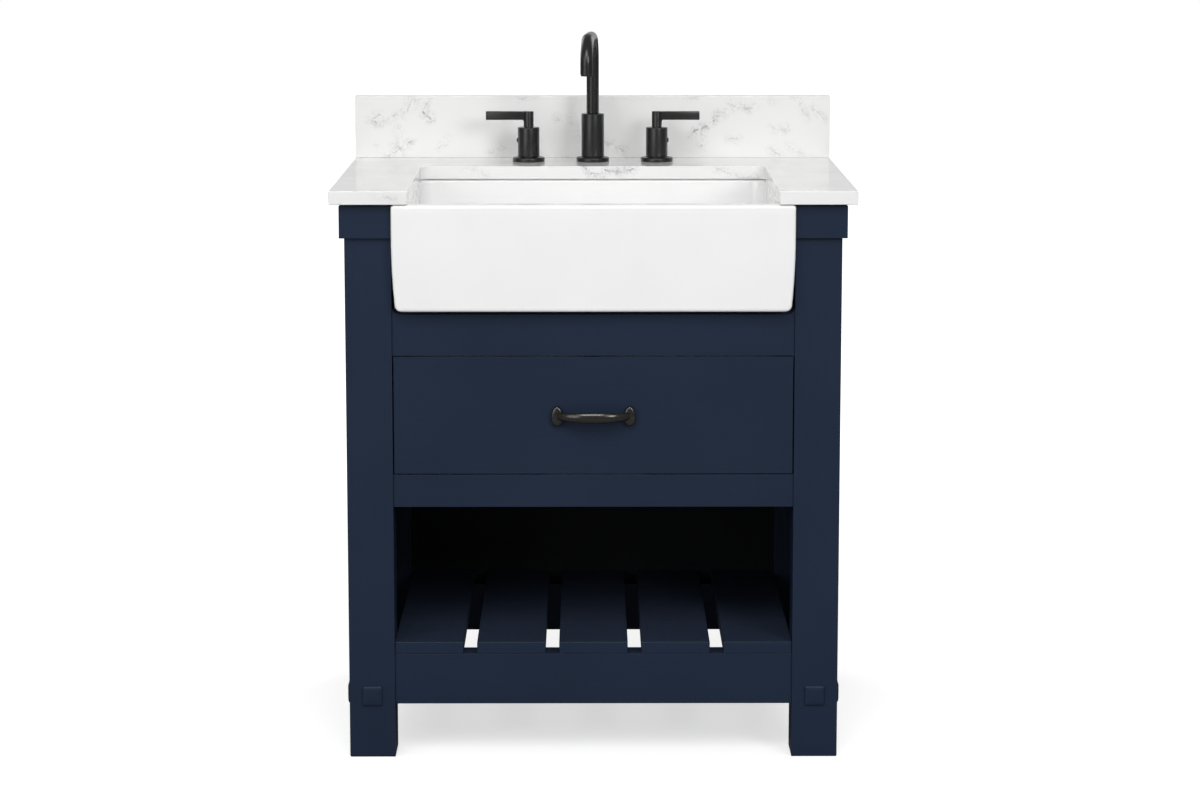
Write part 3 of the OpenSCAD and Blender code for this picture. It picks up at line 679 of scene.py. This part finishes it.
def make_drain():
    """Flange and threaded body with a guide bar, the stopper, and the tailpiece."""
    low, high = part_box("drain_flange")
    centre = Vector(((low.x + high.x) / 2, (low.y + high.y) / 2, 0))
    flange_r = (high.x - low.x) / 2
    seat = high.z - 3 * mm
    body_r = 21.5 * mm
    bore_r = 18 * mm
    neck_r = 17 * mm
    socket_z = low.z + 15 * mm
    corners = [(body_r, seat), (flange_r, seat), (flange_r, seat + 1.4 * mm), (flange_r - 5 * mm, high.z),
               (bore_r + 3 * mm, high.z - 0.4 * mm), (bore_r, seat - 1 * mm)]
    radii = [0, 0.3 * mm, 0.8 * mm, 2 * mm, 2 * mm, 0]
    outer = [(p.x, p.y) for p in rounded(corners, radii)]
    inner = [(bore_r, socket_z), (neck_r, socket_z), (neck_r, low.z)]
    body = thread(body_r, low.z + 1 * mm, seat - 16 * mm)
    flange = lathe("drain_body", outer + inner + body, centre, loop=True)
    guide_low = seat - 30 * mm
    guide_half = 7 * mm
    bar = []
    for z in (guide_low, guide_low + 5 * mm):
        flat = round_rectangle(bore_r + 1 * mm, -guide_half, guide_half, 1.5 * mm, 3, 4, 3)
        bar.append([centre + Vector((p.x, p.y, z)) for p in flat])
    stand_in(united("drain_body_and_guide", [flange, loft("guide_bar", bar)]), "drain_flange")

    low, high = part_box("drain_stopper")
    cap_r = (high.x - low.x) / 2
    cap_z = high.z - 5 * mm
    stem_r = 4 * mm
    profile = [(1 * mm, low.z), (stem_r - 1 * mm, low.z), (stem_r, low.z + 1 * mm)]
    profile += [(stem_r, cap_z - 2 * mm), (stem_r + 2 * mm, cap_z), (cap_r - 1.5 * mm, cap_z)]
    profile += [(cap_r, cap_z + 1 * mm), (cap_r, cap_z + 2.2 * mm), (cap_r - 0.6 * mm, cap_z + 3 * mm)]
    crown = [(cap_r - 0.6 * mm) * math.cos(math.radians(9 * k)) for k in range(1, 10)]
    profile += [(r, cap_z + 3 * mm + 2 * mm * math.sqrt(1 - (r / cap_r) ** 2)) for r in crown]
    stand_in(lathe("stopper_cap_and_stem", profile, centre), "drain_stopper")

    low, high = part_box("drain_tailpiece")
    tube_r = 15.875 * mm
    tube_bore = 14.6 * mm
    shoulder = high.z - 15 * mm
    outer = [(tube_bore, high.z)] + thread(neck_r, high.z - 0.5 * mm, shoulder + 1 * mm, 1.4 * mm, 0.6 * mm)
    outer += [(neck_r, shoulder), (tube_r, shoulder), (tube_r, low.z + 0.3 * mm)]
    outer += [(tube_r - 0.4 * mm, low.z), (tube_bore, low.z)]
    stand_in(lathe("tailpiece_tube", outer, centre, loop=True), "drain_tailpiece")


# ---- Faucet ----

CHAMFER = 0.35 * mm


def axis_of(node):
    """Centre line of an upright turned piece, at z = 0."""
    low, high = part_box(node)
    return Vector(((low.x + high.x) / 2, (low.y + high.y) / 2, 0))


def make_spout_base():
    """Flange, body with a groove at its foot, the bore for the spout's pin, and the threaded stem."""
    low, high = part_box("spout_base")
    centre = axis_of("spout_base")
    flange_r = (high.x - low.x) / 2
    flange_z = deck_z + 7 * mm
    body_r = 17.9 * mm
    shank_r = 11 * mm
    bore_r = 8.05 * mm
    groove = 0.8 * mm
    pin_foot = high.z - 38 * mm
    corners = [(shank_r, deck_z), (flange_r - 0.6 * mm, deck_z), (flange_r, deck_z + 0.8 * mm),
               (flange_r, flange_z), (body_r + 0.5 * mm, flange_z), (body_r - groove, flange_z - groove),
               (body_r - groove, flange_z + groove), (body_r, flange_z + 2 * groove), (body_r, high.z),
               (bore_r, high.z), (bore_r, pin_foot)]
    radii = [0, 0.2 * mm, 0.4 * mm, 2.2 * mm, 0.3 * mm, 0, 0, 0.3 * mm, 1.1 * mm, 0.4 * mm, 0]
    outer = [(p.x, p.y) for p in rounded(corners, radii)]
    profile = outer + [(1 * mm, pin_foot)]
    stem = [(1 * mm, low.z), (shank_r - 1 * mm, low.z)] + thread(shank_r, low.z + 0.6 * mm, deck_z - 2 * mm)
    stand_in(lathe("spout_body", stem + profile, centre), "spout_base")


def make_spout_tube():
    """Swivel pin, riser, two bends with a level run between them, and the hollow mouth, as one sweep."""
    low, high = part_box("spout_tube")
    axis = Vector(JOINTS["spout_swivel"]["pos_m"])
    axis.z = 0
    mouth_low, mouth_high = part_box("spout_aerator")
    mouth = (mouth_low + mouth_high) / 2
    ahead = Vector((mouth.x - axis.x, mouth.y - axis.y, 0))
    reach = ahead.length
    ahead.normalize()
    side = ahead.cross(UP)
    tube_r = 9.8 * mm
    bend_r = 37 * mm
    bore_r = 7.9 * mm
    collar_l = 2.5 * mm
    bend_z = high.z - tube_r - bend_r
    end_z = mouth_low.z + collar_l
    riser_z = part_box("spout_base")[1].z + 0.3 * mm

    def upright(forward, z, radius, across=ahead):
        """Level ring at a height, that far forward of the axis."""
        return sweep_ring(axis + ahead * forward + UP * z, side, across, radius, radius, steps=48)

    def bend(forward, angle):
        """Ring on the quarter bend whose centre is that far forward."""
        inward = ahead * math.cos(angle) - UP * math.sin(angle)
        point = axis + ahead * forward + UP * bend_z - inward * bend_r
        return sweep_ring(point, side, inward, tube_r, tube_r, steps=48)

    pin_r = 8 * mm
    pin = [(low.z, pin_r - 0.5 * mm), (low.z + 0.5 * mm, pin_r), (riser_z, pin_r)]
    pin += [(riser_z, tube_r - 0.6 * mm), (riser_z + 0.6 * mm, tube_r)]
    rings = [upright(0, z, radius) for z, radius in pin]
    steps = 24
    quarter = [math.pi / 2 * k / steps for k in range(steps + 1)]
    rings += [bend(bend_r, angle) for angle in quarter]
    rings += [bend(reach - bend_r, math.pi / 2 + angle) for angle in quarter]
    end = [(end_z + CHAMFER, tube_r), (end_z, tube_r - CHAMFER), (end_z, bore_r), (end_z + 9 * mm, bore_r)]
    rings += [upright(reach, z, radius, -ahead) for z, radius in end]
    stand_in(loft("spout_swan_neck", rings), "spout_tube")

    collar_r = (mouth_high.y - mouth_low.y) / 2
    mouth_r = 6.6 * mm
    plug_r = bore_r - 0.6 * mm
    corners = [(collar_r, 0.15 * mm), (collar_r, collar_l), (mouth_r, collar_l), (mouth_r, 1.4 * mm)]
    radii = [0, 0.5 * mm, 0.3 * mm, 0]
    outer = [(2 * mm, -5 * mm), (plug_r, -5 * mm), (plug_r, 0.15 * mm)]
    outer += [(p.x, p.y) for p in rounded(corners, radii)]
    for k in range(4):
        ridge = mouth_r - 0.6 * mm - 1.4 * mm * k
        outer += [(ridge, 1.2 * mm), (ridge - 0.3 * mm, 1.8 * mm), (ridge - 0.7 * mm, 1.8 * mm),
                  (ridge - 1.0 * mm, 1.2 * mm)]
    face = axis + ahead * reach + UP * end_z
    stand_in(lathe("spout_mouth_collar", outer, face, aim=-UP, steps=48), "spout_aerator")


def make_escutcheon(node):
    """Ring on the deck, with a groove under the hub and a lip that hides the valve."""
    low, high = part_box(node)
    outer_r = (high.x - low.x) / 2
    bore_r = 11 * mm
    step_r = 18.6 * mm
    lip_r = 14 * mm
    lip_z = high.z + 0.6 * mm
    groove_z = high.z - 1 * mm
    corners = [(bore_r, low.z), (outer_r - 0.6 * mm, low.z), (outer_r, low.z + 0.8 * mm), (outer_r, high.z),
               (step_r, high.z), (step_r - 0.8 * mm, groove_z), (lip_r, groove_z), (lip_r, lip_z),
               (bore_r, lip_z)]
    radii = [0, 0.2 * mm, 0.4 * mm, 2.2 * mm, 0.4 * mm, 0.2 * mm, 0.2 * mm, 0.2 * mm, 0]
    profile = [(p.x, p.y) for p in rounded(corners, radii)]
    stand_in(lathe(node + "_ring", profile, axis_of(node), loop=True), node)


def make_valve(node):
    """Brass valve: threaded inlet, ribbed body, threaded shank and the spindle under the handle."""
    low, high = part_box(node)
    body_r = (high.x - low.x) / 2
    inlet_r = 10.475 * mm
    shank_r = 11 * mm
    spindle_r = 8.8 * mm
    body_z = low.z + 20 * mm
    shank_z = under_deck - 34 * mm
    hub_z = deck_z + 7.7 * mm
    profile = [(1 * mm, low.z + 8 * mm), (7.5 * mm, low.z + 8 * mm), (7.5 * mm, low.z)]
    profile += thread(inlet_r, low.z + 0.4 * mm, body_z - 1 * mm, 1.8 * mm, 0.9 * mm)
    profile += [(body_r - 0.6 * mm, body_z), (body_r, body_z + 0.6 * mm), (body_r, shank_z - 0.6 * mm),
                (body_r - 0.6 * mm, shank_z)]
    profile += thread(shank_r, shank_z + 1 * mm, deck_z - 1 * mm)
    profile += [(shank_r, hub_z), (spindle_r, hub_z), (spindle_r, high.z - 0.6 * mm),
                (spindle_r - 0.6 * mm, high.z), (1 * mm, high.z)]
    stand_in(lathe(node + "_body", profile, axis_of(node)), node)


def make_handle(name, side):
    """Hub, stem and flat lever of one handle. side is -1 for the left and 1 for the right."""
    node = name + "_handle"
    low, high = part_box(node)
    centre = axis_of(name + "_valve")
    hub_r = (high.y - low.y) / 2
    hub_top = low.z + 46 * mm
    stem_r = 8 * mm
    corners = [(1 * mm, low.z), (hub_r - 0.5 * mm, low.z), (hub_r, low.z + 0.5 * mm), (hub_r, hub_top),
               (stem_r, hub_top), (stem_r, high.z), (1 * mm, high.z)]
    radii = [0, 0.2 * mm, 0.3 * mm, 1.2 * mm, 0.7 * mm, 0.8 * mm, 0]
    hub = lathe(node + "_hub", [(p.x, p.y) for p in rounded(corners, radii)], centre)

    reach = max(high.x - centre.x, centre.x - low.x)
    thick = 9 * mm
    tall = 13.4 * mm
    middle = high.z - tall / 2
    soft = 0.9 * mm

    def bar_ring(x, inset, height=tall, rise=0.0, radius=soft):
        """The lever's section at a distance from the handle's axis."""
        flat = round_rectangle(thick / 2 - inset, -height / 2 + inset, height / 2 - inset, radius, 3, 2, 3)
        return [centre + Vector((side * x, p.x, middle + rise + p.y)) for p in flat]

    rings = [bar_ring(1 * mm, 0), bar_ring(reach - soft, 0)]
    rings += [bar_ring(reach - 0.3 * soft, 0.3 * soft), bar_ring(reach, soft, radius=0.3 * mm)]
    bar = loft(node + "_bar", rings)
    fillet_r = 3.5 * mm
    gusset = []
    for k in range(7):
        angle = math.radians(90 * k / 6)
        x = stem_r - 0.3 * mm + fillet_r * (1 - math.sin(angle))
        drop = fillet_r * (1 - math.cos(angle))
        gusset.append(bar_ring(x, 0.15 * mm, tall - 1 * mm + drop, -drop / 2, 0.6 * mm))
    gusset.insert(0, bar_ring(2 * mm, 0.15 * mm, tall - 1 * mm + fillet_r, -fillet_r / 2, 0.6 * mm))
    ordered = [gusset[0]] + gusset[:0:-1]
    stand_in(united(node + "_lever", [hub, bar, loft(node + "_gusset", ordered)]), node)

    low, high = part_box(name + "_index")
    button_r = (high.z - low.z) / 2
    face_x = high.x if side > 0 else low.x
    button = Vector((face_x, (low.y + high.y) / 2, (low.z + high.z) / 2))
    proud = 2 * mm
    profile = [(0.5 * mm, -5 * mm), (button_r, -5 * mm), (button_r, -proud)]
    for k in range(1, 6):
        angle = math.radians(15 * k)
        profile.append((button_r * math.cos(angle), -proud + proud * math.sin(angle)))
    profile.append((0.2 * mm, 0))
    aim = Vector((side, 0, 0))
    stand_in(lathe(name + "_button", profile, button, aim=aim, steps=40), name + "_index")


# ---- Drawer pull ----


def make_pull():
    """Two thick oval feet with flat faces, and a bowed grip between them that swells in the middle.

    The feet's profile is (share of the full width and height, distance from the drawer in mm).
    """
    low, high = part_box("drawer_pull")
    foot_half = 8.8 * mm
    foot_x = high.x - foot_half
    foot_profile = [(0.97, 0), (1.0, 0.8), (1.0, 6.2), (0.96, 7.6), (0.88, 8.5), (0.7, 9.1), (0.1, 9.4)]
    foot_steps = 40
    tall = (high.z - low.z) / 2
    middle = (low.z + high.z) / 2
    face = high.y
    end_out = 4.4 * mm
    end_half = 3.9 * mm
    grip_half = 4.6 * mm
    rise = high.y - low.y - grip_half - end_out
    pieces = []
    for x in (-foot_x, foot_x):
        rings = []
        for scale, out in foot_profile:
            ring = []
            for k in range(foot_steps):
                angle = 2 * math.pi * k / foot_steps
                taper = 1 - 0.1 * math.cos(angle)
                width = foot_half * scale * math.sin(angle) * taper
                ring.append(Vector((x + width, face - out * mm, middle + tall * scale * math.cos(angle))))
            rings.append(ring)
        pieces.append(loft("pull_foot", rings))
    stations = 60
    path = []
    for k in range(stations + 1):
        x = foot_x * (2 * k / stations - 1)
        bow = 1 - abs(x / foot_x) ** 3
        path.append(Vector((x, face - end_out - rise * bow, middle)))
    rings = []
    for k, point in enumerate(path):
        ahead = (path[min(k + 1, stations)] - path[max(k - 1, 0)]).normalized()
        share = 1 - (point.x / foot_x) ** 2
        half_tall = (5.6 + 2.4 * share) * mm
        half_thick = end_half + (grip_half - end_half) * share
        rings.append(sweep_ring(point, UP, ahead.cross(UP), half_tall, half_thick))
    pieces.append(loft("pull_grip", rings))
    stand_in(united("pull_grip_and_feet", pieces, crease=35), "drawer_pull")


# ---- Pegs ----


def make_peg(name, spot, out):
    """One square peg with a softly domed head, standing out of a leg. The crown is (inset, height) in mm."""
    half = 14.75 * mm
    corner_r = 2.5 * mm
    shank_r = 5 * mm
    shank_l = 25 * mm
    crown = [(0, 1.3), (0.25, 2.1), (0.9, 2.75), (2.0, 3.2), (4.2, 3.6), (7.5, 3.9), (11.5, 4.0)]
    across = UP.cross(out)

    def ring(size, radius, height):
        """A square of that half size with rounded corners, at a height above the leg's face."""
        flat = round_rectangle(size, -size, size, radius, 4, 3, 3)
        return [spot + across * p.x + UP * p.y + out * height for p in flat]

    rings = [ring(shank_r, 0.99 * shank_r, -shank_l), ring(shank_r, 0.99 * shank_r, 0)]
    rings.append(ring(half, corner_r, 0))
    rings += [ring(half - inset * mm, corner_r, height * mm) for inset, height in crown]
    stand_in(loft(name, rings, crease=60), "pegs")


def make_pegs():
    """Six square pegs, on the fronts of the front legs and the outer sides of all four."""
    centre_z = (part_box("pegs")[0].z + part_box("pegs")[1].z) / 2
    for side in ("left", "right"):
        sign = -1 if side == "left" else 1
        for end in ("front", "rear"):
            low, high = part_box(f"leg_{end}_{side}")
            centre = (low + high) / 2
            outer = Vector((high.x if sign > 0 else low.x, centre.y, centre_z))
            make_peg(f"peg_{end}_{side}_side", outer, Vector((sign, 0, 0)))
            if end == "front":
                make_peg(f"peg_front_{side}", Vector((centre.x, low.y, centre_z)), Vector((0, -1, 0)))


# ---- Pull screws ----


def make_screws():
    """Two pan-head screws that hold the pull from inside the drawer."""
    low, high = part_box("pull_screws")
    head_r = (high.z - low.z) / 2
    middle = (low.z + high.z) / 2
    screw_r = 2 * mm
    head_y = high.y - 2.5 * mm
    length = head_y - low.y
    crown = []
    for k in range(6):
        angle = math.radians(12 * k)
        crown.append((head_r * math.cos(angle), 0.8 * mm + 1.7 * mm * math.sin(angle)))
    slot_r = 1.4 * mm
    profile = [(0.5 * mm, -length)] + thread(screw_r, -length + 0.5 * mm, -1 * mm, 0.8 * mm, 0.35 * mm)
    profile += [(screw_r, 0), (head_r, 0)] + crown
    profile += [(slot_r, 2.4 * mm), (slot_r - 0.5 * mm, 1.2 * mm), (0.2 * mm, 0.8 * mm)]
    for x, side in ((low.x + head_r, "left"), (high.x - head_r, "right")):
        centre = Vector((x, head_y, middle))
        screw = lathe(f"pull_screw_{side}", profile, centre, aim=Vector((0, 1, 0)), steps=40)
        stand_in(screw, "pull_screws")


# ---- Studio ----


def area_light(name, place, target, size, power):
    """A square soft box at a place, turned to the target. The camera doesn't see it."""
    data = bpy.data.lights.new(name, "AREA")
    data.shape = "SQUARE"
    data.size = size
    data.energy = power
    light = bpy.data.objects.new(name, data)
    light.location = place
    light.rotation_euler = (Vector(target) - Vector(place)).to_track_quat("-Z", "Y").to_euler()
    light.visible_camera = False
    bpy.context.scene.collection.objects.link(light)


def make_floor():
    """A pale floor that glows for the camera: painted light that softens its shadow near the vanity and
    turns it white with distance. To all but the camera it is a plain grey floor.
    """
    bm = bmesh.new()
    bmesh.ops.create_grid(bm, x_segments=1, y_segments=1, size=20)
    floor = finished(bm, "studio_floor")
    f = Finish("studio_floor", Roughness=0.8, Specular_IOR_Level=0.1)
    f.set("Base Color", f.mix(f.noise(3.0), (0.60, 0.60, 0.60, 1), (0.62, 0.62, 0.62, 1)))
    distance = f.node("ShaderNodeVectorMath", {0: f.place}, operation="LENGTH").outputs["Value"]
    # Glow seen only by the camera: painted light, weaker near the vanity and stronger further out.
    f.set("Emission Color", (1, 1, 1, 1))
    f.set("Emission Strength", f.span(distance, 0.6, 3.0, 0.62, 0.95))
    grey = f.node("ShaderNodeBsdfDiffuse", {"Color": (0.3, 0.3, 0.3, 1)}).outputs["BSDF"]
    path = f.node("ShaderNodeLightPath", {}).outputs["Is Camera Ray"]
    either = f.node("ShaderNodeMixShader", {0: path, 1: grey, 2: f.shader.outputs["BSDF"]})
    f.tree.links.new(either.outputs["Shader"], f.tree.nodes["Material Output"].inputs["Surface"])
    floor.data.materials.append(f.material)


def make_studio():
    """Soft boxes on all sides, and a world that looks white. Shiny surfaces see it brighter at the back."""
    target = (0, 0, 0.35)
    area_light("key", (1.9, -3.3, 2.1), target, 1.2, 46)
    area_light("fill", (-2.4, -3.3, 1.7), target, 2.6, 46)
    area_light("overhead", (-0.2, -3.1, 3.5), target, 1.6, 66)
    area_light("back_left", (-2.6, 3.2, 2.4), target, 2.2, 34)
    area_light("back_right", (2.6, 3.2, 2.4), target, 2.2, 34)
    make_world()
    bpy.context.scene.view_settings.view_transform = "Standard"


def make_world():
    """White to the camera, dimmer to everything else, and brighter in reflections that look to +Y."""
    world = bpy.data.worlds.new("studio")
    world.use_nodes = True
    tree = world.node_tree
    seen = tree.nodes["Background"]
    seen.inputs["Color"].default_value = (1, 1, 1, 1)
    seen.inputs["Strength"].default_value = 1.0
    lit = tree.nodes.new("ShaderNodeBackground")
    lit.inputs["Color"].default_value = (1, 1, 1, 1)
    path = tree.nodes.new("ShaderNodeLightPath")
    towards = tree.nodes.new("ShaderNodeSeparateXYZ")
    tree.links.new(tree.nodes.new("ShaderNodeTexCoord").outputs["Generated"], towards.inputs[0])
    backdrop = tree.nodes.new("ShaderNodeMapRange")
    tree.links.new(towards.outputs["Y"], backdrop.inputs["Value"])
    for socket, value in (("From Min", 0.8), ("From Max", 0.95), ("To Min", -0.08), ("To Max", 0.35)):
        backdrop.inputs[socket].default_value = value
    strength = tree.nodes.new("ShaderNodeMath")
    strength.operation = "MULTIPLY_ADD"
    tree.links.new(path.outputs["Is Glossy Ray"], strength.inputs[0])
    tree.links.new(backdrop.outputs["Result"], strength.inputs[1])
    strength.inputs[2].default_value = 0.36
    tree.links.new(strength.outputs[0], lit.inputs["Strength"])
    either = tree.nodes.new("ShaderNodeMixShader")
    tree.links.new(path.outputs["Is Camera Ray"], either.inputs[0])
    tree.links.new(lit.outputs[0], either.inputs[1])
    tree.links.new(seen.outputs[0], either.inputs[2])
    tree.links.new(either.outputs[0], tree.nodes["World Output"].inputs["Surface"])
    bpy.context.scene.world = world


def make_camera():
    """A little above the faucet, in front of the vanity and left of its middle, looking slightly down."""
    left = 9.4 * mm
    distance = 4.409
    height = 1.2883
    down = math.radians(8.52)
    right = math.radians(0.246)
    data = bpy.data.cameras.new("camera")
    data.sensor_width = 36
    data.lens = 92.47
    data.shift_y = -0.05
    data.clip_end = 100
    camera = bpy.data.objects.new("camera", data)
    camera.location = (-left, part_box("countertop")[0].y - distance, height)
    camera.rotation_euler = (math.pi / 2 - down, 0, -right)
    bpy.context.scene.collection.objects.link(camera)
    bpy.context.scene.camera = camera


# ---- The whole scene ----

make_camera()
make_floor()
make_studio()
make_sink()
make_drain()
make_spout_base()
make_spout_tube()
for side_name in ("hot", "cold"):
    make_escutcheon(side_name + "_escutcheon")
    make_valve(side_name + "_valve")
make_handle("hot", -1)
make_handle("cold", 1)
make_pull()
make_pegs()
make_screws()
for node_name, node_object in nodes.items():
    if not node_object.hide_render:
        soften(node_name)

bpy.context.view_layer.update()
